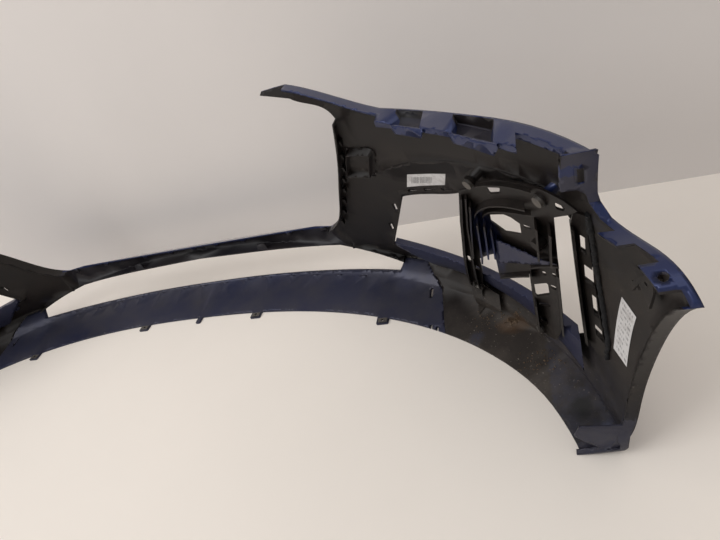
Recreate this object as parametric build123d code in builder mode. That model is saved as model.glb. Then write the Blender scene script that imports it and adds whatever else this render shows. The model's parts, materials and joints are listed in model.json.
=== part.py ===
from build123d import *
from functools import cache
from math import asin, cos, radians, sin
import os

# Front bumper cover of a car, standing on its chin and its two feet.
# Millimetres. +X is the car's left, -Y its front, +Z up. The origin is the middle of the footprint.

# Driving dimensions
body_length = 588  # from the foremost point to the rear tip of the fender edge
wall = 3  # thickness of the mouldings
gap = 0.3  # between neighbouring mouldings
nose_y = 1 - body_length / 2  # nose of the crossbar; the smooth curve bulges 2 in front of it

# The outer face: at each height, the setback of the nose, the half width, the depth of the curve
# round the corner, and its squareness (2 is an ellipse).
chin_levels = [
    (0, 129, 775, 420, 2.3),
    (14, 27, 822, 500, 2.3),
    (30, 17, 838, 600, 2.7),
    (46, 10, 838, 610, 3.3),
]
face_levels = [
    (46, 10, 838, 610, 3.3),
    (120, 0, 868, 640, 2.2),
    (200, 20, 880, 620, 2.1),
    (320, 57, 893, 641, 2.0),
    (400, 75, 893, 655, 2.0),
    (475, 75, 886, 655, 2.0),
]
back_y = 480  # behind everything
reach = 1200  # half length of a cutting prism

# Depths of the return flanges and ledges, measured in from the outer face
ledge_depth = 38  # under the headlight
ledge_drop = 8
ledge_rim = 17  # its depth outside the pockets
arm_depth = 20
fender_rim = 9
corner_depth = 28
arch_depth = 14
foot_width = 62
foot_height = 66
grille_depth = 22
bar_depth = 30  # top and bottom flanges of the crossbar
bar_lift = 113.5  # top of the crossbar at its nose
bar_slope = 0.5  # its top flange rises backwards
intake_depth = 12
intake_rim = 6  # above the opening

# Intake carrier
carrier_inset = 20  # front of the carrier plate behind the outer face
blade_depth = 15
blade_low = 50  # lower edge of its skirt

# Towing eye cover
shut_line = 0.8
tow_rim = 11

# Fasteners
hole_r = 4.5
nut_size = 18
screw_r = 3
head_r = 7

os.makedirs("parts", exist_ok=True)


def outline(height, setback, half_width, depth, power, inset, over):
    """One half of the body's outline at a height, closed behind; over carries it past the middle."""
    with BuildSketch(Plane.XY.offset(height)) as profile:
        with BuildLine():
            turns = [radians(a) for a in range(0, 91, 10)]
            points = [
                (
                    (half_width - inset) * sin(t) ** (2 / power),
                    nose_y + setback + inset + (depth - inset) * (1 - cos(t)),
                )
                for t in turns
            ]
            curve = Spline(*points, tangents=[(1, 0), (0, 1)])
            corners = [curve @ 1, (half_width - inset, back_y + over), (-over, back_y + over)]
            if over:
                corners.append((-over, nose_y + setback + inset))
            Polyline(*corners, curve @ 0)
        make_face()
    return profile.sketch


@cache
def body(inset=0.0):
    """Half of the solid behind the outer face, with its outside moved in by inset."""
    over = 5 if inset else 0
    lift = min(inset, wall)
    share = [0.5, 0.5, 0.8, 1.0]  # the chin is nearly flat, so it is lifted more than moved back
    chin = []
    if inset:
        height, *rest = chin_levels[0]
        chin.append(outline(-over, *rest, inset * share[0], over))
    for level, part in zip(chin_levels, share):
        height, *rest = level
        chin.append(outline(height + (lift if part < 1 else 0), *rest, inset * part, over))
    face = [outline(*level, inset, over) for level in [chin_levels[-1], *face_levels]]
    with BuildPart() as solid:
        loft(chin, ruled=True)
        loft(face)
    return solid.part


def prism(runs, plane=Plane.XZ, corner=0.0):
    """A prism right through the body from an outline drawn in a view.

    A run that is a list is a smooth curve, one that is a tuple is straight lines.
    """
    with BuildPart() as cutter:
        with BuildSketch(plane) as view:
            with BuildLine():
                for run in runs:
                    if isinstance(run, list):
                        Spline(*run)
                    else:
                        Polyline(*run)
                if runs[-1][-1] != runs[0][0]:
                    Line(runs[-1][-1], runs[0][0])
            make_face()
            if corner:
                fillet(view.vertices(), corner)
        extrude(amount=reach, both=True)
    return cutter.part


def strip(runs, across, up):
    """A closed band along open runs."""
    far = [type(run)((u + across, v + up) for u, v in reversed(run)) for run in reversed(runs)]
    return [*runs, (runs[-1][-1], far[0][0]), *far, (far[-1][-1], runs[0][0])]


def moved(run, across, up):
    """A run shifted in its view."""
    return type(run)((u + across, v + up) for u, v in run)


def layer(outer, inner, *views):
    """The body from one inset to a deeper one, kept where it shows in every view."""
    with BuildPart() as piece:
        for number, view in enumerate(views):
            add(view, mode=Mode.INTERSECT if number else Mode.ADD)
        add(body(outer), mode=Mode.INTERSECT if views else Mode.ADD)
        add(body(inner), mode=Mode.SUBTRACT)
    return piece.part


def seat(x, z, inset):
    """The plane touching the body at a point of the front view, facing into the car."""
    point, normal = body(inset).find_intersection_points(Axis((x, nose_y - 50, z), (0, 1, 0)))[0]
    return Plane(origin=point, x_dir=normal.cross(Vector(0, 0, -1)), z_dir=-normal)


def peg(plane, start, end, radius):
    """A round peg along a plane's axis."""
    with BuildPart() as post:
        with BuildSketch(plane.offset(start)):
            Circle(radius)
        extrude(amount=end - start)
    return post.part


def block(x, y, z, *size):
    """A plain block centred on a point."""
    with BuildPart() as piece:
        with Locations((x, y, z)):
            Box(*size)
    return piece.part


def behind(setback):
    """Y of a point that far behind the nose."""
    return nose_y + setback


def side(runs):
    """Runs given as setback and height, as points of the side view."""
    return [type(run)((behind(s), h) for s, h in run) for run in runs]


def plan_y(level, x):
    """Y of a level's outline at x."""
    _, setback, half_width, depth, power = level
    return behind(setback + depth * (1 - cos(asin((abs(x) / half_width) ** (power / 2)))))


def window(x, z, width, height, slant=0.0, corner=0.0):
    """A prism for a small opening about (x, z) in the front view, its right side raised by slant."""
    w, h = width / 2, height / 2
    points = ((x - w, z - h), (x + w, z - h + slant), (x + w, z + h + slant), (x - w, z + h))
    return prism([(*points, points[0])], corner=corner)


def whole(half):
    """Both halves of a piece that crosses the middle."""
    with BuildPart() as both:
        add(half)
        mirror(about=Plane.YZ)
    return both.part


def save(name, shape):
    with BuildPart() as piece:
        add(shape)
    piece.part.label = name
    export_step(piece.part, f"parts/{name}.step")


def save_pair(name, shape):
    """The car's left piece and its mirror image."""
    save(f"{name}_l", shape)
    save(f"{name}_r", shape.mirror(Plane.YZ))


# Edges in the front view, from the middle outwards
bar_top = ((0, 127), (350, 133))
grille_edge = [(350, 133), (380, 156), (404, 194), (427, 246), (458, 313), (480, 370), (490, 403)]
arm_under = [(490, 403), (478, 420), (445, 431), (421, 440)]
arm_tip = ((421, 440), (366, 450), (372, 456), (421, 462))
arm_top = [(421, 462), (480, 446), (530, 430), (572, 420)]
light_edge = [(572, 420), (640, 421), (700, 424), (757, 429), (800, 428), (830, 423)]
swage = [(533, 302), (584, 326), (702, 350), (776, 351)]
bar_under = [(0, 93), (169, 90), (300, 83), (403, 69), (488, 44)]
lip_seam = ((488, 44), (535, 44), (553, 29), (569, 6), (582, -10))
lip_top = [(0, 19), (225, 20), (290, 21), (390, 24), (474, 28)]
intake_side = ((484, 101), (548, 240))
intake_top = [(548, 240), (596, 257), (645, 273), (701, 314), (755, 331)]
intake_back = ((755, 331), (785, 328), (795, 305), (797, 101), (789, 87))
intake_under = [(789, 87), (700, 85), (610, 88), (484, 101)]
blade_line = [(492, 114), (610, 102), (700, 99), (788, 101)]

# Towing eye opening: middle in the front view, outline on the face there (outwards, downwards)
tow_middle = (499, 317)
tow_hole = ((-51, 34), (-11, -31), (51, -35), (13, 32), (-51, 34))
tow_corner = 8

# Slots round the intake for the hooks of its trim: x, z, width, height, slant
trim_slots = [
    (522, 204, 4, 15, 3),
    (495, 147, 4, 15, 3),
    (572, 254, 14, 3, 4),
    (603, 264.5, 14, 3, 4),
    (634, 274.5, 14, 3, 4),
]
frame_slots = [(803, 277, 5, 34), (807, 221, 9, 32), (810, 174, 4.5, 32), (811, 134, 7, 16)]

# Edges in the side view, as setback and height, and the lobes of the fender flange in plan
arch_side = [(499, -1), (504, 60), (498, 105), (501, 160), (520, 228), (545, 280), (577, 325), (588, 336)]
fender_side = [(588, 336), (559, 356), (503, 350), (469, 351)]
corner_side = ((469, 351), (460, 366), (460, 376), (475, 425), (478, 432))
corner_plate = ((770, 386), (800, 384), (812, 372), (900, 372), (900, 450), (770, 450), (770, 386))
fender_lobes = [(482, 520, 23), (545, 583, 25)]  # from, to, depth

# Underside of the crossbar's channel in plan, from the middle
bar_plan = ((-1, -50), (-1, bar_depth), (350, bar_depth + 10), (500, 92), (500, -50), (-1, -50))

ground = (0, 0, -50, 3000, 3000, 100)

# Trapezoid pockets in the ledge: top corners, floor height
pockets = [(588, 650, 406), (668, 738, 409)]
pocket_top = 436
pocket_slope = 12
pocket_band = ((560, 380), (560, 418), (640, 419), (700, 422), (760, 427), (760, 380), (560, 380))

# Where the intake carrier is screwed to the cover's towers
tower_r = 7
towers = [(684, 333), (768, 352), (645, 60), (741, 60)]
boss_height = 6
thread = 14
tab_places = [(0, 12), (149, 24), (447, 24)]  # x and width of the tabs for the undertray
tab_length = 20
tab_hole = 11  # from the edge of the lip to the middle of the hole


def tab(x, width):
    """A screw tab for the undertray at the rear edge of the lip."""
    y = plan_y(chin_levels[0], x)
    with BuildPart() as piece:
        with BuildSketch():
            with Locations((x, y + tab_length / 2 - 2)):
                RectangleRounded(width, tab_length + 4, 3)
            if width > 14:
                with Locations((x, y + tab_hole)):
                    Circle(hole_r, mode=Mode.SUBTRACT)
        extrude(amount=wall)
    return piece.part


def pocket_outline(left, right, floor, thick):
    """A pocket in the front view; thick moves its walls and floor inwards."""
    a, b = left + thick, right - thick
    top = pocket_top + (10 if thick else 0)
    low = floor + thick
    return prism([((a, top), (a + pocket_slope, low), (b - pocket_slope, low), (b, top), (a, top))])


def cover_half():
    """Left half of the painted moulding."""
    sky = ((830, 423), (950, 423), (950, 600), (0, 600), (0, 127))
    above = [bar_top, grille_edge, arm_under, arm_tip, arm_top, light_edge, sky]
    below = [bar_under, lip_seam, ((582, -10), (0, -10), (0, 93))]
    outside = ((478, 432), (478, 600), (900, 600), (900, -1), (499, -1))
    rear = [arch_side, fender_side, corner_side, outside]
    opening = [intake_side, intake_top, intake_back, intake_under]
    thin = wall / 2  # a flange starts inside the wall it grows from
    bar_view = prism([tuple((x, behind(s)) for x, s in bar_plan)], Plane.XY)
    corner = ((469, 351 - wall), *corner_side)
    foot = ((499, -1), (504, foot_height))
    foot_view = window(834, 35, 140, 90)
    ledge_view = window(655, 410, 190, 60)
    rim_view = window(800, 410, 120, 60)
    slant = ((-20, bar_top_at(-20)), (80, bar_top_at(80)))
    bar_span = window(174, 120, 352, 80)
    trims = [
        layer(thin, ledge_depth, prism(strip([light_edge], 0, -wall)), ledge_view),
        layer(ledge_depth - wall, ledge_depth, prism(strip([light_edge], 0, -ledge_drop)), ledge_view),
        layer(thin, ledge_rim, prism(strip([light_edge], 0, -wall))),
        layer(ledge_rim - wall, ledge_rim, prism(strip([light_edge], 0, -ledge_drop)), rim_view),
        layer(thin, arm_depth, prism(strip([arm_top], 0, -wall))),
        layer(thin, grille_depth, prism(strip([grille_edge], wall, 0))),
        layer(thin, bar_depth + 5, prism(strip(side([slant]), 0, -wall), Plane.YZ), bar_view, bar_span),
        layer(thin, bar_depth + 5, prism(strip([bar_under], 0, wall)), bar_view),
        layer(thin, intake_depth, prism(strip([(*intake_side, (549.5, 243.2))], -wall, 0))),
        layer(thin, intake_rim, prism(strip([intake_top], 0, wall))),
        layer(thin, wall + 1.6, prism(strip([swage], 0, -8))),
        layer(thin, fender_rim, prism(strip(side([fender_side]), 0, -wall), Plane.YZ)),
        layer(thin, fender_rim, prism(strip(side([corner]), -wall, 0), Plane.YZ)),
        layer(thin, corner_depth, prism(strip(side([corner]), -wall, 0), Plane.YZ), prism([corner_plate])),
        layer(thin, arch_depth, prism(strip(side([arch_side]), -wall, 0), Plane.YZ)),
        layer(thin, foot_width, prism(strip(side([foot]), -wall, 0), Plane.YZ), foot_view),
    ]
    for start, end, depth in fender_lobes:
        rear_edge = ((700, end), (860, end - 6), (950, end))
        lobe = (*rear_edge, (950, start), (840, start + 6), (700, start), (700, end))
        plan = prism([tuple((x, behind(s)) for x, s in lobe)], Plane.XY)
        trims.append(layer(thin, depth, prism(strip(side([fender_side]), 0, -wall), Plane.YZ), plan))
    for left, right, floor in pockets:
        shell = pocket_outline(left, right, floor, 0)
        trims.append(layer(thin, ledge_depth + wall, shell, prism([pocket_band])))
    axes = [seat(x, z, carrier_inset) for x, z in towers]
    trims += [layer(thin, carrier_inset - gap, peg(axis, -60, 1, tower_r)) for axis in axes]
    trims += bar_tabs()
    over_bar = side([(slant[0], slant[1], (80, 200), (-20, 200), slant[0])])
    with BuildPart() as wedge:
        add(prism(over_bar, Plane.YZ))
        add(window(170, 150, 360, 110), mode=Mode.INTERSECT)
    cuts = [prism(above), prism(below), prism(opening), wedge.part]
    holes = [layer(wall, ledge_depth, pocket_outline(*pocket, wall)) for pocket in pockets]
    holes += [peg(axis, -thread, 5, screw_r - 0.5) for axis in axes]
    holes += [prism(side(rear), Plane.YZ), block(*ground), block(-50, 0, 200, 100, 1000, 1000)]
    holes += [block(804, behind(468), 402, 6, 12, 20)]
    holes += [layer(-1, wall + 1, window(x, z, *size)) for x, z, *size in trim_slots + frame_slots]
    holes += [peg(Plane.XY.offset(300).shift_origin((853, behind(566), 300)), 0, 70, hole_r)]
    with BuildPart() as half:
        add(layer(0, wall))
        add(cuts, mode=Mode.SUBTRACT)
        add(trims)
        add(holes, mode=Mode.SUBTRACT)
    return half.part


def bar_top_at(setback):
    """Height of the crossbar's slanted top."""
    return bar_lift + bar_slope * setback


def bar_tabs():
    """Tabs along the rear edges of the crossbar's channel."""
    pieces = []
    for x, rear in ((0, 28.5), (63, 30), (133, 32), (248, 35.5), (332, 46)):
        pieces.append(block(x, behind(rear), min(bar_top_at(rear), 133) - 5.5, 12, wall, 9))
    for x, z, rear in [(168, 91, bar_depth + 3), (392, 72, bar_depth + 22)]:
        with BuildPart() as tongue:
            with BuildSketch(Plane.XZ.offset(-behind(rear))):
                with Locations((x, z + 8)):
                    Trapezoid(26, 16, 75)
            extrude(amount=wall)
        pieces.append(tongue.part)
    return pieces


def lip_half():
    """Left half of the lower lip."""
    seam = moved(lip_seam, -gap, -gap)
    edge = [lip_top, ((474, 28), *seam, (0, -10), (0, 19))]
    hooks = [block(x, plan_y(chin_levels[1], x) + 6, 16, 12, 4, 5) for x in range(30, 440, 60)]
    windows = [block(542, behind(153), 12, 4, 22, 30)]
    windows += [block(x, behind(setback), 2, 3, 14, 10) for x, setback in ((545, 236), (557, 243))]
    with BuildPart() as half:
        add(layer(0, wall, prism(edge)))
        add(hooks)
        add([tab(x, width) for x, width in tab_places])
        add([*windows, block(*ground), block(-50, 0, 0, 100, 1000, 200)], mode=Mode.SUBTRACT)
    return half.part


def blade():
    """Blade in the lower part of the side intake: a lip flush with the face, a ledge, a skirt."""
    under = moved(intake_under, 0, gap)
    lower = [(788, 87.4), *under[1:3], (492, 100.7)]
    front = [blade_line, ((788, 101), (788, 87.4)), lower, ((492, 100.7), (492, 114))]
    skirt = [blade_line, ((788, 101), (788, blade_low), (562, blade_low), (492, 104), (492, 114))]
    axes = [seat(x, z, carrier_inset) for x, z in towers]
    ribs = []
    for x in (515, 575, 620, 690, 770):
        top = 101 + 10 * ((x - 700) / 200) ** 2
        ribs.append(layer(wall + gap, blade_depth - 1, window(x, top - 15, 2.5, 26)))
    with BuildPart() as piece:
        add(layer(0, wall, prism(front)))
        add(layer(wall / 2, blade_depth, prism(strip([blade_line], 0, -wall))))
        add(layer(blade_depth - wall, blade_depth, prism(skirt)))
        add(ribs)
        add([peg(axis, -60, 20, tower_r + 1.5) for axis in axes], mode=Mode.SUBTRACT)
    return piece.part


# Intake carrier, in the front view
carrier_edge = (
    (632, 14),
    (620, 48),
    (629, 137),
    (643, 224),
    (660, 304),
    (677, 316),
    (688, 332),
    (718, 353),
    (746, 362),
    (769, 367),
    (787, 366),
    (798, 362),
    (790, 347),
    (776, 328),
    (774, 244),
    (771, 141),
    (768, 110),
    (757, 66),
    (744, 44),
    (731, 44),
    (731, 80),
    (734, 171),
    (686, 129),
    (687, 177),
    (675, 166),
    (659, 149),
    (658, 123),
    (650, 72),
    (672, 47),
    (673, 31),
    (660, 22),
    (632, 14),
)
carrier_windows = [
    ((696, 269), (716, 283), (725, 283), (735, 277), (734, 252), (713, 241), (695, 253), (696, 269)),
    ((739, 279), (748, 281), (748, 276), (739, 272), (739, 279)),
    ((703, 331), (721, 340), (718, 328), (706, 320), (703, 331)),
    ((738, 155), (757, 176), (757, 154), (738, 131), (738, 155)),
    ((779, 359), (788, 356), (786, 349), (779, 346), (779, 359)),
    ((637, 144), (642, 144), (642, 131), (637, 131), (637, 144)),
    ((648, 126), (654, 126), (653, 118), (647, 118), (648, 126)),
    ((752, 193), (757, 197), (757, 190), (752, 186), (752, 193)),
    ((764, 202), (769, 206), (769, 199), (764, 196), (764, 202)),
    ((760, 176), (767, 180), (767, 173), (760, 170), (760, 176)),
    ((740, 122), (756, 136), (756, 131), (740, 117), (740, 122)),
    ((738, 92), (748, 100), (748, 86), (738, 78), (738, 92)),
]
# Walls that stand on the carrier's back: line, thickness across and up, height
carrier_ribs = [
    ([((624, 48), (632, 137), (646, 224), (661, 296))], 2.5, 0, 9),
    ([((640, 40), (645, 137), (654, 224), (668, 300))], 2.5, 0, 9),
    ([((650, 160), (660, 224), (672, 290))], 2.5, 0, 14),
    ([[(674, 262), (682, 280), (696, 298), (720, 316), (746, 328)]], 0, 3, 12),
    ([[(685, 262), (697, 282), (717, 297), (752, 318)]], 0, 3, 8),
    ([[(688, 328), (716, 345), (746, 356), (756, 358)]], 0, 3, 6),
    ([((666, 168), (676, 260))], 2.5, 0, 22),
    ([((677, 180), (685, 258))], 2.5, 0, 18),
    ([((687, 180), (692, 248))], 2.5, 0, 12),
    ([((750, 236), (754, 308))], 2.5, 0, 16),
    ([((764, 240), (768, 312))], 2.5, 0, 16),
    ([((736, 168), (738, 198), (774, 240))], 0, 3, 10),
    ([((733, 60), (735, 128))], 2.5, 0, 12),
    ([((766, 118), (770, 226))], 2.5, 0, 14),
]
shelf = ((688, 132), (734, 174))
shelf_height = 7
funnel_edge = ((692, 172), (696, 224), (731, 226), (753, 230), (772, 242), (741, 208), (692, 172))
funnel_lift = 30  # inset of the funnel panel


def carrier():
    """Plate behind the side intake, with its walls and the screws' bosses."""
    back = carrier_inset + wall
    axes = [seat(x, z, carrier_inset) for x, z in towers]
    motor = seat(760, 268, back)
    with BuildPart() as plate:
        add(layer(carrier_inset, back, prism([carrier_edge])))
        add([prism([points], corner=1.5) for points in carrier_windows], mode=Mode.SUBTRACT)
        walls = [layer(back - 2, back + height, prism(strip(*band))) for *band, height in carrier_ribs]
        walls.append(layer(back - 2, back + shelf_height, prism(strip([shelf], 0, 3))))
        add(walls)
        add([peg(axis, 1, boss_height, head_r + 2) for axis in axes])
        add(peg(motor, -1, 14, 8))
        add([peg(axis, boss_height, 60, head_r + 1) for axis in axes], mode=Mode.SUBTRACT)
        add([peg(axis, -10, 60, screw_r + 0.4) for axis in axes], mode=Mode.SUBTRACT)
    return plate.part


def funnel():
    """Slanted panel that leads the air, standing on a foot on the carrier."""
    with BuildPart() as panel:
        add(layer(funnel_lift, funnel_lift + 2, prism([funnel_edge])))
        add(layer(carrier_inset + wall + gap, funnel_lift + 1, window(735, 219, 3, 8)))
        add(layer(carrier_inset + wall + gap, funnel_lift + 1, window(698, 216, 3, 10)))
    return panel.part


def curtain_frame():
    """Frame of the air slot: a wall along the slot's edge and a flange with slots."""
    reveal = ((795 - gap, 305), (797 - gap, 103))
    with BuildPart() as frame:
        add(layer(0, 13, prism(strip([reveal], -wall, 0))))
        flange = ((792, 305), (796, 332), (806, 336), (816, 106), (806, 96), (794, 103), (792, 305))
        add(layer(wall + gap, 2 * wall + gap, prism([flange])))
        add([window(*slot) for slot in frame_slots], mode=Mode.SUBTRACT)
    return frame.part


def grille_rail():
    """Toothed rail behind the flange at the side of the grille opening."""
    inner = moved(grille_edge, wall + gap, 0)
    teeth = [(384, 150), (402, 182), (416, 212), (430, 242), (442, 270), (455, 298), (466, 328), (476, 356)]
    with BuildPart() as rail:
        add(layer(wall + gap, 2 * wall + gap, prism(strip([inner], 5, 0)), window(450, 262, 300, 210)))
        for x, z in teeth:
            add(layer(2 * wall, 15, window(x + 9, z + 8, 4, 10)))
    return rail.part


# Bracket at the fender, as setback and height
hook_edge = ((494, 276), (498, 292), (525, 322), (541, 334), (536, 308), (522, 276), (512, 300), (494, 276))


def fender_hook():
    """Angled bracket on two posts behind the fender's flange."""
    with BuildPart() as hook:
        add(layer(10, 12.5, prism(side([hook_edge]), Plane.YZ)))
        for at, z in [(500, 289), (534, 324)]:
            post = ((at - 4, z - 4), (at + 4, z - 4), (at + 4, z + 3), (at - 4, z + 3), (at - 4, z - 4))
            add(layer(wall + gap, 11, prism(side([post]), Plane.YZ)))
        add(peg(Plane.YZ.shift_origin((0, behind(526), 312)), 800, 900, 2.5), mode=Mode.SUBTRACT)
    return hook.part


def screws():
    """The carrier's screws, heads on its bosses, threads in the cover's towers."""
    with BuildPart() as group:
        for x, z in towers:
            axis = seat(x, z, carrier_inset)
            add(peg(axis, boss_height, boss_height + 4, head_r))
            add(peg(axis, 1 - thread, boss_height + 1, screw_r - 0.6))
    return group.part


def tray_nuts():
    """Spring nuts pushed over the undertray tabs."""
    with BuildPart() as group:
        for x, width in tab_places[1:]:
            y = plan_y(chin_levels[0], x)
            with BuildSketch(Plane.XY.offset(wall)):
                with Locations((x, y + tab_hole)):
                    RectangleRounded(nut_size, 11, 1.5)
                    Circle(screw_r, mode=Mode.SUBTRACT)
            extrude(amount=1.4)
    return group.part


def panel_prism(amount):
    """A prism square to the face through the towing eye's opening, grown by amount."""
    with BuildPart() as cutter:
        with BuildSketch(seat(*tow_middle, 0)) as view:
            with BuildLine():
                Polyline(*tow_hole)
            make_face()
            fillet(view.vertices(), tow_corner)
            offset(amount=amount)
        extrude(amount=40, both=True)
    return cutter.part


def tow_cover():
    """Panel over the towing eye, in its own opening, with a wall behind it."""
    with BuildPart() as cover:
        add(layer(wall / 2, wall + tow_rim, panel_prism(-shut_line - 4)))
        add(panel_prism(-shut_line - 6), mode=Mode.SUBTRACT)
        add(layer(0, wall, panel_prism(-shut_line)))
    return cover.part


with BuildPart() as cover_skin:
    add(whole(cover_half()))
    add(panel_prism(0).mirror(Plane.YZ), mode=Mode.SUBTRACT)
save("cover_skin", cover_skin.part)

save("lower_lip", whole(lip_half()))
save("tow_eye_cover", tow_cover().mirror(Plane.YZ))
save_pair("intake_blade", blade())
save_pair("intake_carrier", carrier())
save_pair("duct_funnel", funnel())
save_pair("curtain_frame", curtain_frame())
save_pair("grille_rail", grille_rail())
save_pair("fender_hook", fender_hook())
save_pair("carrier_screws", screws())
save("tray_nuts", whole(tray_nuts()))

# Paper labels on the inside of the car's right side
for name, points in [
    ("part_label", ((575, 297), (642, 314), (634, 287), (564, 265), (575, 297))),
    ("tape_label", ((835, 229), (845, 220), (834, 128), (824, 131), (835, 229))),
]:
    save(name, layer(wall + gap, wall + gap + 0.4, prism([points])).mirror(Plane.YZ))
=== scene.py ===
import json
import math

import bmesh
import bpy
from mathutils import Matrix, Vector, noise
from mathutils.bvhtree import BVHTree
from mathutils.kdtree import KDTree

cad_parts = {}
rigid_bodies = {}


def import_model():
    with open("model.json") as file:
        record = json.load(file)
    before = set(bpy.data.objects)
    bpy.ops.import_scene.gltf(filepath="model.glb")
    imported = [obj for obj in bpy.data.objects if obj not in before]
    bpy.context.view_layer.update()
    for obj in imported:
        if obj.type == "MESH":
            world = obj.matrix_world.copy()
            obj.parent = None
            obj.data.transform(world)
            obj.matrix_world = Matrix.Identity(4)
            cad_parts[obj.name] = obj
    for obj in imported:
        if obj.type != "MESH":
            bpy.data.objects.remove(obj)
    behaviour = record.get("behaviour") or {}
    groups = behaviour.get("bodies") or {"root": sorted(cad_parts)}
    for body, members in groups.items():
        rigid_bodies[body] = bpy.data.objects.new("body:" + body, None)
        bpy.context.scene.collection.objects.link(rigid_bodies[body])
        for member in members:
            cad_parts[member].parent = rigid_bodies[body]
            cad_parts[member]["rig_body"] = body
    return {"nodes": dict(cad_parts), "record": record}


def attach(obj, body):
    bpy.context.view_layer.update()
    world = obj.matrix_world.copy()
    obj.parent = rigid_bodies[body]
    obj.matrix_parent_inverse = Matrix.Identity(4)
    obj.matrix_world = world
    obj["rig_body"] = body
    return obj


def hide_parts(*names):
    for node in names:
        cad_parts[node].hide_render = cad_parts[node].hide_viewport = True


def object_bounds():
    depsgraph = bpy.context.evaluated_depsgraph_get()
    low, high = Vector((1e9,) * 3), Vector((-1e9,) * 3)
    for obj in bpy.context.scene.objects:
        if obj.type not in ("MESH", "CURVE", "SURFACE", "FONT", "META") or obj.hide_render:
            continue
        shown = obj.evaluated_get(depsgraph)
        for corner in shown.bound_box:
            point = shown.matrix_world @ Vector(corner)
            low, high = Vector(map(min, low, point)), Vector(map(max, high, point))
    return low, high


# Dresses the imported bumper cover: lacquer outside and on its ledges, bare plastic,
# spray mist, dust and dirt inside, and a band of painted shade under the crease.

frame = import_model()
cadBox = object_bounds()
nodes = frame["nodes"]
slots = {part["node"]: part["material_slot"] for part in frame["record"]["subparts"]}
print("frame loaded:", len(nodes), "nodes")

view = {
    "place": (-0.7751, 0.6587, 0.6954), "aim": (-0.3669, -0.2597, 0.0),
    "roll": -22.084, "lens": 28.008,
}


def aimed(place, aim, roll=0.0):
    look = (Vector(aim) - Vector(place)).to_track_quat("-Z", "Y").to_matrix().to_4x4()
    return Matrix.Translation(place) @ look @ Matrix.Rotation(math.radians(roll), 4, "Z")


def linked(name, data):
    made = bpy.data.objects.new(name, data)
    bpy.context.scene.collection.objects.link(made)
    return made


def makeCamera():
    camera = linked("camera", bpy.data.cameras.new("camera"))
    camera.matrix_world = aimed(view["place"], view["aim"], view["roll"])
    camera.data.lens = view["lens"]
    camera.data.clip_start = 0.01
    bpy.context.scene.camera = camera


makeCamera()


# A socket that takes part in Python expressions
class Wire:
    def __init__(self, tree, socket):
        self.tree = tree
        self.socket = socket

    def math(self, operation, first, second=0.0):
        step = self.tree.nodes.new("ShaderNodeMath")
        step.operation = operation
        for slot, value in zip(step.inputs, (first, second)):
            if isinstance(value, Wire):
                self.tree.links.new(value.socket, slot)
            else:
                slot.default_value = value
        return Wire(self.tree, step.outputs[0])

    def __add__(self, other):
        return self.math("ADD", self, other)

    __radd__ = __add__

    def __sub__(self, other):
        return self.math("SUBTRACT", self, other)

    def __rsub__(self, other):
        return self.math("SUBTRACT", other, self)

    def __mul__(self, other):
        return self.math("MULTIPLY", self, other)

    __rmul__ = __mul__

    def __gt__(self, other):
        return self.math("GREATER_THAN", self, other)

    def __abs__(self):
        return self.math("ABSOLUTE", self)

    def clipped(self):
        step = self.math("MAXIMUM", self, 0.0)
        return step.math("MINIMUM", step, 1.0)


class Finish:
    def __init__(self, name):
        self.material = bpy.data.materials.new(name)
        self.material.use_nodes = True
        self.tree = self.material.node_tree
        self.shader = self.tree.nodes["Principled BSDF"]

    def add(self, kind, settings=None, sockets=None, output=0):
        made = self.tree.nodes.new(kind)
        for key, value in (settings or {}).items():
            setattr(made, key, value)
        for key, value in (sockets or {}).items():
            if isinstance(value, Wire):
                self.tree.links.new(value.socket, made.inputs[key])
            else:
                made.inputs[key].default_value = value
        return Wire(self.tree, made.outputs[output])

    def place(self):
        return self.add("ShaderNodeTexCoord", output="Object")

    def axes(self, vector):
        split = self.add("ShaderNodeSeparateXYZ", {}, {"Vector": vector}).socket.node
        return [Wire(self.tree, out) for out in split.outputs]

    def noise(self, scale, detail=4.0, rough=0.55, stretch=None):
        where = self.place()
        if stretch:
            where = self.add("ShaderNodeMapping", {}, {"Vector": where, "Scale": stretch})
        sockets = {"Vector": where, "Scale": scale, "Detail": detail, "Roughness": rough}
        return self.add("ShaderNodeTexNoise", {}, sockets, "Fac")

    def ramp(self, value, low, high):
        ends = {"Value": value, "From Min": low, "From Max": high}
        return self.add("ShaderNodeMapRange", {"clamp": True}, ends)

    def pattern(self, name):
        cloud, ends = patterns[name]
        return self.ramp(self.noise(*cloud), *ends)

    def attribute(self, name):
        return self.add("ShaderNodeAttribute", {"attribute_name": name}, {}, "Fac")

    def mix(self, factor, first, second):
        sockets = {0: factor, 6: first, 7: second}
        return self.add("ShaderNodeMix", {"data_type": "RGBA"}, sockets, 2)

    def upward(self):
        return self.axes(self.add("ShaderNodeNewGeometry", {}, {}, "Normal"))[2]

    def grain(self, scale, strength, detail=3.0, distance=0.0005):
        height = self.noise(scale, detail)
        sockets = {"Height": height, "Strength": strength, "Distance": distance}
        return self.add("ShaderNodeBump", {}, sockets)

    # 1 in the middle of a soft ellipsoid, 0 outside it, the same on both sides of the car
    def zone(self, middle, radii, ragged):
        x, y, z = self.axes(self.place())
        total = 0.0
        for along, at, radius in zip((abs(x), y, z), middle, radii):
            step = (along - at) * (1.0 / radius)
            total = step * step + total
        total = total + (self.noise(*zones["edge"]) - 0.5) * ragged
        return self.ramp(total, *zones["fade"])

    def set(self, **sockets):
        for key, value in sockets.items():
            slot = self.shader.inputs[key.replace("_", " ")]
            if isinstance(value, Wire):
                self.tree.links.new(value.socket, slot)
            else:
                slot.default_value = value
        return self.material


def shade(red, green, blue):
    return (red, green, blue, 1.0)


def toned(colour, tone):
    return tuple(tone * c for c in colour[:3]) + (1.0,)


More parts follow.
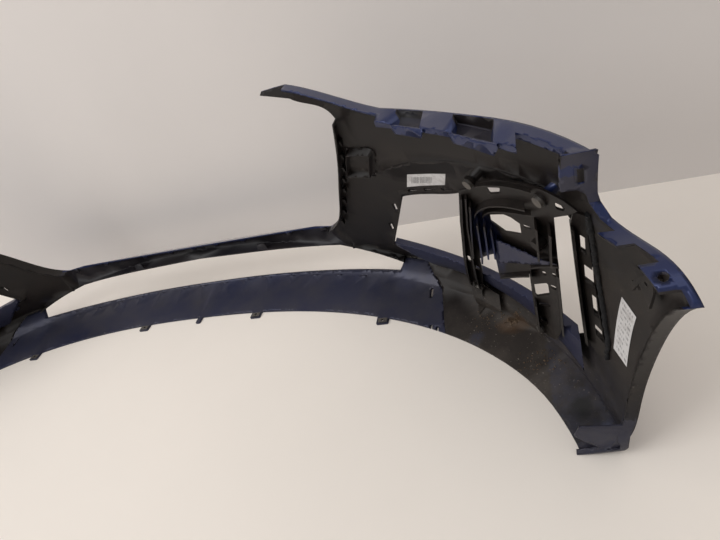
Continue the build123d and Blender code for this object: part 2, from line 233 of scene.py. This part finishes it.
# Noise patterns: scale, detail, roughness and stretch, then the values at its ramp's ends
patterns = {
    "wear": ((7.0, 6.0, 0.6), (0.32, 0.66)),
    "smear": ((6.0, 9.0, 0.68, (1.0, 1.0, 2.4)), (0.46, 0.80)),
    "specks": ((240.0, 3.0, 0.75), (0.66, 0.74)),
    "spray": ((55.0, 6.0, 0.7), (0.28, 0.62)),
    "scuff": ((26.0, 9.0, 0.72, (1.0, 1.0, 5.0)), (0.62, 0.80)),
    "haze": ((9.0, 8.0, 0.65), (0.2, 0.75)),
    "soil": ((70.0, 6.0, 0.6), (0.45, 0.8)),
    "mud": ((90.0, 4.0), (0.35, 0.65)),
    "room": ((2.0, 5.0), (0.3, 0.8)),
}
# The noise that makes a zone's edge ragged, and where the zone starts and is full
zones = {"edge": (45.0, 6.0, 0.7), "fade": (1.0, 0.2)}
plastic = {
    "dark": shade(0.0045, 0.0036, 0.0038),
    "worn": shade(0.0135, 0.0095, 0.008),
    "dust": shade(0.095, 0.078, 0.064),
    "grit": shade(0.42, 0.37, 0.31),
    "shine": 0.32, "roughness": 0.46, "dusty": 0.4,
}
lacquer = {
    "colour": shade(0.010, 0.018, 0.070),
    "light": shade(0.018, 0.030, 0.105),
    "mist": shade(0.026, 0.031, 0.060),
    "haze": shade(0.105, 0.098, 0.100),
    "scuff": shade(0.12, 0.115, 0.12),
    "flakes": (600.0, 2.0), "grain": (300.0, 0.10), "thin": (0.85, 0.62),
    "hazy": 0.75, "scuffed": 0.35, "metallic": 0.5,
    "roughness": 0.30, "scuffRough": 0.25,
    "coat": 0.7, "coatFall": 8.0, "coatRough": 0.08,
}
# Dirt on the inside: soft ellipsoids given by middle, radii and raggedness, and the dirt colours;
# "shadow" is the colour of the painted shade under the crease
dirtAndShade = {
    "low": ((0.70, 0.04, 0.03), (0.17, 0.22, 0.075), 1.2),
    "side": ((0.83, 0.19, 0.20), (0.06, 0.12, 0.15), 1.0),
    "blot": ((0.777, 0.138, 0.006), (0.018, 0.024, 0.02), 2.2),
    "clump": ((0.695, -0.035, 0.012), (0.036, 0.024, 0.02), 1.8),
    "mud": shade(0.055, 0.030, 0.014), "muddy": 0.8,
    "pitch": shade(0.006, 0.006, 0.007),
    "shadow": shade(0.008, 0.007, 0.007),
}
# Dust lies everywhere, thicker on faces that look up and in the two dirty zones
dusting = {
    "all": 0.30, "top": 0.7, "tilt": (-0.1, 0.9), "film": 0.8,
    "low": 0.18, "lowSmear": 0.9, "side": 0.35,
    "specksAll": 0.05, "specksLow": 0.9, "specksSide": 0.25,
}


# Colour and roughness of moulded plastic that has lain about
def barePlastic(finish, dustiness, tone=1.0):
    dark, worn = toned(plastic["dark"], tone), toned(plastic["worn"], tone)
    colour = finish.mix(finish.pattern("wear"), dark, worn)
    smear = finish.pattern("smear")
    low = finish.zone(*dirtAndShade["low"])
    side = finish.zone(*dirtAndShade["side"])
    top = dusting["top"] * finish.ramp(finish.upward(), *dusting["tilt"])
    film = smear * (dusting["all"] + top) * dustiness
    film = film + low * (dusting["low"] + dusting["lowSmear"] * smear)
    film = (film + side * smear * dusting["side"]).clipped()
    colour = finish.mix(film * dusting["film"], colour, plastic["dust"])
    speckled = low * dusting["specksLow"] + side * dusting["specksSide"]
    specks = finish.pattern("specks") * (speckled + dusting["specksAll"] * dustiness)
    colour = finish.mix(specks.clipped(), colour, plastic["grit"])
    return colour, plastic["roughness"] + plastic["dusty"] * film


def paintedFinish(name, dustiness):
    finish = Finish(name)
    bare, bareRough = barePlastic(finish, dustiness)
    painted = finish.attribute("painted")
    mist = finish.attribute("mist") * finish.pattern("spray")
    bare = finish.mix(mist.clipped(), bare, lacquer["mist"])
    # Painted shade: a dark band just under the crease, mixed over the bare plastic
    bare = finish.mix(finish.attribute("crease"), bare, dirtAndShade["shadow"])
    bare = finish.mix(finish.zone(*dirtAndShade["blot"]), bare, dirtAndShade["pitch"])
    bare = finish.mix(finish.zone(*dirtAndShade["clump"]) * dirtAndShade["muddy"], bare, dirtAndShade["mud"])
    coat = finish.mix(finish.noise(*lacquer["flakes"]), lacquer["colour"], lacquer["light"])
    scuff = finish.pattern("scuff")
    coat = finish.mix(scuff * lacquer["scuffed"], coat, lacquer["scuff"])
    hazy = finish.ramp(painted, *lacquer["thin"]) * finish.pattern("haze")
    coat = finish.mix(hazy * lacquer["hazy"], coat, lacquer["haze"])
    rougher = lacquer["roughness"] - bareRough + lacquer["scuffRough"] * scuff
    return finish.set(
        Base_Color=finish.mix(painted, bare, coat),
        Roughness=bareRough + painted * rougher,
        Metallic=painted * lacquer["metallic"],
        Coat_Weight=painted.math("POWER", painted, lacquer["coatFall"]) * lacquer["coat"],
        Coat_Roughness=lacquer["coatRough"],
        Specular_IOR_Level=plastic["shine"],
        Normal=finish.grain(*lacquer["grain"]),
    )


# The carriers, frames, rails and hooks, with a drift of lacquer spray on the carriers
moulded = {
    "dustiness": 0.30, "tone": 0.75, "grain": (350.0, 0.15),
    "spray": ((0.684, -0.02, 0.21), (0.028, 0.05, 0.075), 0.8), "sprayed": 0.8,
}


def mouldedFinish():
    finish = Finish("blackPlastic")
    colour, rough = barePlastic(finish, moulded["dustiness"], moulded["tone"])
    sprayed = finish.zone(*moulded["spray"]) * moulded["sprayed"]
    return finish.set(
        Base_Color=finish.mix(sprayed, colour, lacquer["colour"]),
        Roughness=rough,
        Specular_IOR_Level=plastic["shine"],
        Normal=finish.grain(*moulded["grain"]),
    )


zinc = {
    "dark": shade(0.10, 0.095, 0.09), "light": shade(0.24, 0.22, 0.20),
    "mottle": 120.0, "metallic": 0.85, "roughness": 0.5,
}


def zincFinish():
    finish = Finish("dullZinc")
    colour = finish.mix(finish.noise(zinc["mottle"]), zinc["dark"], zinc["light"])
    return finish.set(Base_Color=colour, Metallic=zinc["metallic"], Roughness=zinc["roughness"])


# Plain stickers with generic bars, in the front view: a corner, the two edges from it, and
# bands of bars, each with its left, right, top, bottom and how often the bars change
stickers = {
    "part_label": {
        "corner": (-0.575, 0.297), "across": (-0.067, 0.017), "down": (0.011, -0.032),
        "bands": [(0.12, 0.68, 0.22, 0.72, 120.0)], "ink": 0.85,
    },
    "tape_label": {
        "corner": (-0.835, 0.229), "across": (-0.010, -0.009), "down": (0.011, -0.098),
        "bands": [(0.12, 0.88, 0.06 + 0.09 * row, 0.10 + 0.09 * row, 13.0) for row in range(10)],
        "ink": 0.5,
    },
}
paper = {
    "clean": shade(0.60, 0.59, 0.59), "soiled": shade(0.36, 0.34, 0.33),
    "ink": shade(0.06, 0.06, 0.065), "roughness": 0.55, "rows": 50.0,
}


def stickerFinish(name):
    sticker = stickers[name]
    finish = Finish(name.replace("_l", "L"))
    x, _, z = finish.axes(finish.place())
    (cx, cz), (ax, az), (dx, dz) = sticker["corner"], sticker["across"], sticker["down"]
    area = ax * dz - az * dx
    x = x - cx
    z = z - cz
    u = (x * dz - z * dx) * (1.0 / area)
    v = (z * ax - x * az) * (1.0 / area)
    ink = 0.0
    for left, right, top, bottom, rate in sticker["bands"]:
        line = finish.add("ShaderNodeCombineXYZ", {}, {0: u * rate, 1: top * paper["rows"]})
        cloud = {"Vector": line, "Scale": 1.0, "Detail": 1.0}
        bars = finish.add("ShaderNodeTexNoise", {}, cloud, "Fac") > 0.5
        inside = (u > left) * (1 - (u > right)) * (v > top) * (1 - (v > bottom))
        ink = bars * inside + ink
    colour = finish.mix(finish.pattern("soil"), paper["clean"], paper["soiled"])
    colour = finish.mix(ink.clipped() * sticker["ink"], colour, paper["ink"])
    return finish.set(Base_Color=colour, Roughness=paper["roughness"])


finishes = {
    "paint": paintedFinish("navyLacquer", 0.16),
    "lip_plastic": paintedFinish("lipLacquer", 0.08),
    "black_plastic": mouldedFinish(),
    "zinc": zincFinish(),
}
print("finishes made:", len(finishes))


# How finely the mouldings are cut up for their masks
cutting = {
    "longest": 0.007, "rounds": 7, "weld": 2e-6, "sharp": math.radians(28), "reach": 0.0005,
}
# The car's plan as an ellipse: half its width, where its middle lies, and its depth
plan = {"half": 0.774, "middle": 0.347, "depth": 0.41}
# Where lacquer lies: limits of a face's normal, then places in metres
coating = {
    "outer": 0.3, "up": 0.5, "down": -0.3, "rearward": 0.7, "clear": 0.0008,
    "flange": 0.012, "ledge": 0.404, "pocket": 0.4145,
    "foot": (0.755, 0.19, 0.075), "corner": (0.765, 0.352), "shelf": (0.1, 0.33),
}
# How thickly it lies there, from 0 to 1
coats = {
    "outer": 1.0, "top": 0.9, "blade": 0.7, "lip": 0.6, "corner": 0.6,
    "foot": 0.35, "pocket": 0.25, "channel": 0.1, "bare": 0.0,
}
# Lacquer lies on the crossbar's top flange, which rises backwards; its channel is bare
crossbar = {"end": 0.36, "above": 0.16, "top": 0.1135, "slope": 0.5, "thick": 0.0065}
# Spray mist below the lacquered tops, and low down at the sides
drift = {
    "reach": 0.014, "strength": 0.25, "even": 0.6, "grain": 20,
    "low": 0.40, "lowTop": 0.12, "lowFrom": 0.74,
}
# The crease above the side intake, as points of the front view, with the drop, width and strength
# of the band of painted shade drawn just under it
crease = {
    "line": ((0.500, 0.285), (0.533, 0.302), (0.584, 0.326), (0.702, 0.350), (0.790, 0.352)),
    "drop": 0.009, "width": 0.007, "strength": 0.9, "even": 0.75, "uneven": 0.5, "grain": 60,
}


# Direction out of the car at a point of the cover
def outward(point):
    back = (point.y - plan["middle"]) / plan["depth"]
    return Vector((point.x / plan["half"], back, 0.0)).normalized()


# An outer face looks out of the car and has nothing of the part in front of it
def isOuter(face):
    away = outward(face.center)
    if face.normal.dot(away) < coating["outer"]:
        return False
    start = face.center + face.normal * coating["clear"]
    return wholeTree.ray_cast(start, away)[0] is None


def mergedMesh(name):
    work = bmesh.new()
    work.from_mesh(nodes[name].data)
    bmesh.ops.remove_doubles(work, verts=work.verts, dist=cutting["weld"])
    return work


def smoothObject(work, name):
    mesh = bpy.data.meshes.new(name)
    work.to_mesh(mesh)
    mesh.shade_smooth()
    mesh.set_sharp_from_angle(angle=cutting["sharp"])
    return linked(name, mesh)


# A modified object's result as a plain mesh
def plainMesh(source):
    bpy.context.view_layer.update()
    graph = bpy.context.evaluated_depsgraph_get()
    shape = source.evaluated_get(graph)
    return bpy.data.meshes.new_from_object(shape, preserve_all_data_layers=True, depsgraph=graph)


# A finer copy of a CAD node that keeps the node's own smooth normals
def refine(name):
    work = mergedMesh(name)
    coarse = smoothObject(work, name + "Coarse")
    for _ in range(cutting["rounds"]):
        edges = [e for e in work.edges if e.calc_length() > cutting["longest"]]
        if not edges:
            break
        bmesh.ops.subdivide_edges(work, edges=edges, cuts=1)
        bmesh.ops.triangulate(work, faces=[f for f in work.faces if len(f.verts) > 3])
    fine = smoothObject(work, name + "Fine")
    work.free()
    carry = fine.modifiers.new("normals", "DATA_TRANSFER")
    carry.object = coarse
    carry.use_loop_data = True
    carry.data_types_loops = {"CUSTOM_NORMAL"}
    carry.loop_mapping = "POLYINTERP_NEAREST"
    carry.use_max_distance = True
    carry.max_distance = cutting["reach"]
    dressed = linked(name + ".dressed", plainMesh(fine))
    for spare in (coarse, fine):
        bpy.data.objects.remove(spare)
    return dressed


def treeOf(points):
    tree = KDTree(len(points))
    for index, point in enumerate(points):
        tree.insert(point, index)
    tree.balance()
    return tree


# How thickly the lacquer lies on a face
def coatOf(name, face, outerTree):
    middle, normal = face.center, face.normal
    if name.startswith(("intake_blade", "duct_funnel")):
        return coats["blade"]
    if isOuter(face):
        return coats["outer"]
    if name == "lower_lip":
        return coats["lip"]
    if name == "tow_eye_cover":
        return coats["bare"]
    deep = outerTree.find(middle)[2] > coating["flange"]
    upward = normal.z > coating["up"]
    if upward and coating["ledge"] < middle.z < coating["pocket"]:
        return coats["pocket"]
    if middle.z > coating["ledge"] and (upward or deep):
        return coats["top"]
    if abs(middle.x) < crossbar["end"] and middle.z < crossbar["above"]:
        rise = crossbar["top"] + crossbar["slope"] * (middle.y - cadBox[0][1])
        flange = middle.z > rise - crossbar["thick"] and normal.z > coating["down"]
        return coats["top" if flange else "channel"]
    inner, rear, top = coating["foot"]
    if abs(middle.x) > inner and middle.y > rear and middle.z < top:
        return coats["foot"]
    inner, low = coating["corner"]
    exposed = deep or upward or normal.y > coating["rearward"]
    if abs(middle.x) > inner and middle.z > low and exposed:
        return coats["top" if upward else "corner"]
    rear, low = coating["shelf"]
    if upward and middle.z > low and middle.y > rear:
        return coats["top"]
    return coats["bare"]


# How near a point lies to the dark line under the crease, a band of painted shade
def creaseShadeAt(point):
    line = crease["line"]
    for (xa, za), (xb, zb) in zip(line, line[1:]):
        if xa <= abs(point.x) <= xb:
            height = za + (zb - za) * (abs(point.x) - xa) / (xb - xa)
            off = (point.z - height + crease["drop"]) / crease["width"]
            uneven = crease["even"] + crease["uneven"] * noise.noise(point * crease["grain"])
            return crease["strength"] * math.exp(-off * off) * uneven
    return 0.0


# How much spray mist lies on a point
def mistAt(point, topTree):
    near = 1.0 - topTree.find(point)[2] / drift["reach"] if topTree else 0.0
    under = drift["strength"] * near * (drift["even"] + noise.noise(point * drift["grain"]))
    low = drift["low"] * (1.0 - point.z / drift["lowTop"]) * (abs(point.x) > drift["lowFrom"])
    return min(1.0, max(0.0, under, low))


def addMask(mesh, name, domain, values):
    mesh.attributes.new(name, "FLOAT", domain).data.foreach_set("value", values)


# Paints the masks on a piece; one without outer faces measures from the origin, far from all
def coatMasks(piece, name):
    mesh = piece.data
    faces = mesh.polygons
    outerTree = treeOf([f.center.copy() for f in faces if isOuter(f)] or [Vector()])
    coat = [coatOf(name, f, outerTree) for f in faces]
    tops = [f.center.copy() for f, c in zip(faces, coat) if c == coats["top"]]
    topTree = treeOf(tops) if tops else None
    points = [corner.co.copy() for corner in mesh.vertices]
    # The crease mask is painted shade under the crease, drawn on the cover only
    creaseShaded = name == "cover_skin"
    addMask(mesh, "painted", "FACE", coat)
    addMask(mesh, "mist", "POINT", [mistAt(p, topTree) for p in points])
    addMask(mesh, "crease", "POINT", [creaseShadeAt(p) if creaseShaded else 0.0 for p in points])
    return sum(coat) / len(coat)


def dressMouldings():
    for name, slot in slots.items():
        if slot not in ("paint", "lip_plastic"):
            continue
        piece = refine(name)
        share = coatMasks(piece, name)
        piece.data.materials.clear()
        piece.data.materials.append(finishes[slot])
        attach(piece, nodes[name]["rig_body"])
        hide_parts(name)
        print("dressed", name, len(piece.data.polygons), "faces, painted share", round(share, 2))


def dressOthers():
    for name, slot in slots.items():
        if slot in ("paint", "lip_plastic"):
            continue
        mesh = nodes[name].data
        mesh.materials.clear()
        mesh.materials.append(stickerFinish(name) if name in stickers else finishes[slot])


# One search tree over several CAD nodes
def treeOver(names):
    corners, faces = [], []
    for name in names:
        start = len(corners)
        corners.extend(v.co.copy() for v in nodes[name].data.vertices)
        faces.extend([start + i for i in p.vertices] for p in nodes[name].data.polygons)
    return BVHTree.FromPolygons(corners, faces)


wholeTree = treeOver([name for name, slot in slots.items() if slot != "label"])
dressMouldings()
dressOthers()


# A ragged bead of foam that follows a line on the inner face, in the front view
bead = {
    "line": (
        (0.810, 0.340), (0.8125, 0.300), (0.816, 0.240),
        (0.819, 0.180), (0.8205, 0.130), (0.817, 0.100),
    ),
    "steps": 6, "castFrom": 0.5, "raised": 0.35,
    "radius": 0.0035, "ragged": 0.007, "sides": 7, "spacing": 0.0015, "lumps": (190.0, 3.0),
    "colour": shade(0.004, 0.004, 0.005), "roughness": 0.9,
}


def treeNode(group, kind, settings=None, sockets=None):
    made = group.nodes.new(kind)
    for key, value in (settings or {}).items():
        setattr(made, key, value)
    for key, value in (sockets or {}).items():
        if isinstance(value, bpy.types.NodeSocket):
            group.links.new(value, made.inputs[key])
        else:
            made.inputs[key].default_value = value
    return made


def newGroup(name, inputs):
    group = bpy.data.node_groups.new(name, "GeometryNodeTree")
    group.interface.new_socket("Geometry", in_out="INPUT", socket_type="NodeSocketGeometry")
    sockets = {}
    for label, kind in inputs.items():
        made = group.interface.new_socket(label, in_out="INPUT", socket_type=kind)
        sockets[label] = made.identifier
    group.interface.new_socket("Geometry", in_out="OUTPUT", socket_type="NodeSocketGeometry")
    return group, sockets


def closeGroup(group, geometry, material):
    solid = treeNode(group, "GeometryNodeRealizeInstances", {}, {"Geometry": geometry})
    dressed = {"Geometry": solid.outputs[0], "Material": material}
    dressed = treeNode(group, "GeometryNodeSetMaterial", {}, dressed)
    treeNode(group, "NodeGroupOutput", {}, {0: dressed.outputs[0]})


# A piece that a tree grows on points and edges, fixed to the cover
def growPiece(name, points, edges, group, sizes):
    mesh = bpy.data.meshes.new(name)
    mesh.from_pydata(points, edges, [])
    piece = linked(name, mesh)
    live = piece.modifiers.new("grown", "NODES")
    live.node_group = group
    for socket, value in sizes.items():
        live[socket] = value
    piece.data = plainMesh(piece)
    piece.modifiers.clear()
    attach(piece, nodes["cover_skin"]["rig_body"])


def beadTree(foam):
    sizes = {"Radius": "NodeSocketFloat", "Ragged": "NodeSocketFloat", "Sides": "NodeSocketInt"}
    group, inputs = newGroup("bead", sizes)
    start = treeNode(group, "NodeGroupInput").outputs
    curve = treeNode(group, "GeometryNodeMeshToCurve", {}, {"Mesh": start["Geometry"]})
    spacing = {"Curve": curve.outputs[0], "Length": bead["spacing"]}
    even = treeNode(group, "GeometryNodeResampleCurve", {"mode": "LENGTH"}, spacing)
    ring = {"Resolution": start["Sides"], "Radius": start["Radius"]}
    ring = treeNode(group, "GeometryNodeCurvePrimitiveCircle", {}, ring)
    tube = {"Curve": even.outputs[0], "Profile Curve": ring.outputs[0], "Fill Caps": True}
    tube = treeNode(group, "GeometryNodeCurveToMesh", {}, tube)
    place = treeNode(group, "GeometryNodeInputPosition")
    scale, detail = bead["lumps"]
    cloud = {"Vector": place.outputs[0], "Scale": scale, "Detail": detail}
    cloud = treeNode(group, "ShaderNodeTexNoise", {}, cloud)
    centred = {0: cloud.outputs["Color"], 1: (0.5, 0.5, 0.5)}
    centred = treeNode(group, "ShaderNodeVectorMath", {"operation": "SUBTRACT"}, centred)
    push = {0: centred.outputs[0], "Scale": start["Ragged"]}
    push = treeNode(group, "ShaderNodeVectorMath", {"operation": "SCALE"}, push)
    rough = {"Geometry": tube.outputs[0], "Offset": push.outputs[0]}
    rough = treeNode(group, "GeometryNodeSetPosition", {}, rough)
    closeGroup(group, rough.outputs[0], foam)
    return group, inputs


# A place on the inner face of the cover seen from behind, raised for the bead
def beadPoint(tree, x, z):
    start = Vector((x, bead["castFrom"], z))
    hit, normal = tree.ray_cast(start, Vector((0, -1, 0)))[:2]
    return hit + normal * bead["radius"] * bead["raised"] if hit else None


def makeBeads(tree):
    foam = Finish("foam").set(Base_Color=bead["colour"], Roughness=bead["roughness"])
    group, inputs = beadTree(foam)
    sizes = {inputs[label]: bead[label.lower()] for label in inputs}
    line, steps = bead["line"], bead["steps"]
    for side, letter in ((-1, "R"), (1, "L")):
        points = []
        for (xa, za), (xb, zb) in zip(line, line[1:]):
            for part in (step / steps for step in range(steps)):
                place = side * (xa + (xb - xa) * part), za + (zb - za) * part
                points.append(beadPoint(tree, *place))
        points = [p for p in points if p]
        edges = [(i, i + 1) for i in range(len(points) - 1)]
        growPiece("frameFoam" + letter, points, edges, group, sizes)
    print("beads made")


# Crumbs of dirt that lie in the bottom of the cover. Each heap has its middle in plan, its
# spread and the number of its crumbs
crumbs = {
    "heaps": ((0.690, -0.040, 0.014, 170), (0.655, -0.050, 0.040, 40), (0.726, 0.045, 0.040, 60)),
    "size": 0.0010, "seed": 4, "castFrom": 0.045, "raised": 0.3, "wide": 1.4,
    "turn": (6.28, 6.28, 6.28), "least": (0.4, 0.4, 0.3), "most": (2.0, 1.6, 1.1),
    "dry": shade(0.16, 0.11, 0.07), "roughness": 0.95,
}


def crumbTree(material):
    group, inputs = newGroup("crumbs", {"Size": "NodeSocketFloat", "Seed": "NodeSocketInt"})
    start = treeNode(group, "NodeGroupInput").outputs
    points = treeNode(group, "GeometryNodeMeshToPoints", {}, {"Mesh": start["Geometry"]})
    ball = {"Radius": start["Size"], "Subdivisions": 1}
    lump = treeNode(group, "GeometryNodeMeshIcoSphere", {}, ball)
    turn = {"Max": crumbs["turn"], "Seed": start["Seed"]}
    turn = treeNode(group, "FunctionNodeRandomValue", {"data_type": "FLOAT_VECTOR"}, turn)
    size = {"Min": crumbs["least"], "Max": crumbs["most"], "Seed": start["Seed"]}
    size = treeNode(group, "FunctionNodeRandomValue", {"data_type": "FLOAT_VECTOR"}, size)
    strewn = {"Points": points.outputs[0], "Instance": lump.outputs[0]}
    strewn.update({"Rotation": turn.outputs[0], "Scale": size.outputs[0]})
    strewn = treeNode(group, "GeometryNodeInstanceOnPoints", {}, strewn)
    closeGroup(group, strewn.outputs[0], material)
    return group, inputs


# Where a crumb of a heap falls, the same each run, slightly above the floor of the cover
def crumbPoint(tree, side, heap, index):
    x, y, spread = heap[:3]
    dice = noise.noise_vector(Vector((index * 7.31 + x * 91, x * 33 + 0.5, side + 0.25)))
    across, along = side * (x + dice.x * spread * crumbs["wide"]), y + dice.y * spread
    start = Vector((across, along, crumbs["castFrom"]))
    hit, normal = tree.ray_cast(start, Vector((0, 0, -1)))[:2]
    return hit + normal * crumbs["size"] * crumbs["raised"] if hit else None


def makeCrumbs(tree):
    mud = Finish("mud")
    colour = mud.mix(mud.pattern("mud"), dirtAndShade["mud"], crumbs["dry"])
    group, inputs = crumbTree(mud.set(Base_Color=colour, Roughness=crumbs["roughness"]))
    sizes = {inputs[label]: crumbs[label.lower()] for label in inputs}
    noise.seed_set(crumbs["seed"])
    for side, letter in ((-1, "R"), (1, "L")):
        points = []
        for heap in crumbs["heaps"]:
            points.extend(crumbPoint(tree, side, heap, index) for index in range(heap[3]))
        growPiece("crumbs" + letter, [p for p in points if p], [], group, sizes)
    print("crumbs made")


inside = treeOver(["cover_skin", "curtain_frame_l", "curtain_frame_r"])
makeBeads(inside)
makeCrumbs(inside)


room = {
    "floor": shade(0.86, 0.80, 0.735), "wall": shade(0.70, 0.66, 0.635),
    "wallY": -0.41, "size": 6.0, "patch": 0.95, "roughness": 0.85,
}
lamps = {
    "window": {
        "place": (2.6, 2.0, 2.6), "aim": (-0.1, -0.2, 0.1), "size": 2.4, "power": 76.0,
    },
    "ceiling": {
        "place": (-0.4, 0.6, 3.0), "aim": (-0.4, 0.0, 0.0), "size": 3.0, "power": 26.0,
    },
}
air = {"Color": shade(1.0, 0.98, 0.96), "Strength": 0.50}


# A one-sided sheet is clear from its back, so that it hides nothing from there
def plainFinish(name, colour, oneSided):
    finish = Finish(name)
    if oneSided:
        finish.set(Alpha=1 - finish.add("ShaderNodeNewGeometry", {}, {}, "Backfacing"))
    colour = finish.mix(finish.pattern("room"), colour, toned(colour, room["patch"]))
    return finish.set(Base_Color=colour, Roughness=room["roughness"])


def makeSheet(name, corners, oneSided=False):
    mesh = bpy.data.meshes.new(name)
    mesh.from_pydata(corners, [], [(0, 1, 2, 3)])
    mesh.materials.append(plainFinish(name + "Finish", room[name], oneSided))
    linked(name, mesh)


def makeRoom():
    s, y = room["size"], room["wallY"]
    makeSheet("floor", [(-s, -s, 0), (s, -s, 0), (s, s, 0), (-s, s, 0)])
    makeSheet("wall", [(-s, y, 0), (-s, y, s), (s, y, s), (s, y, 0)], True)


def makeLights():
    world = bpy.data.worlds.new("air")
    bpy.context.scene.world = world
    world.use_nodes = True
    for key, value in air.items():
        world.node_tree.nodes["Background"].inputs[key].default_value = value
    for name, lamp in lamps.items():
        made = linked(name, bpy.data.lights.new(name, "AREA"))
        made.data.size = lamp["size"]
        made.data.energy = lamp["power"]
        made.matrix_world = aimed(lamp["place"], lamp["aim"])


makeRoom()
makeLights()
bpy.context.scene.view_settings.view_transform = "Standard"
print("room and lights made")
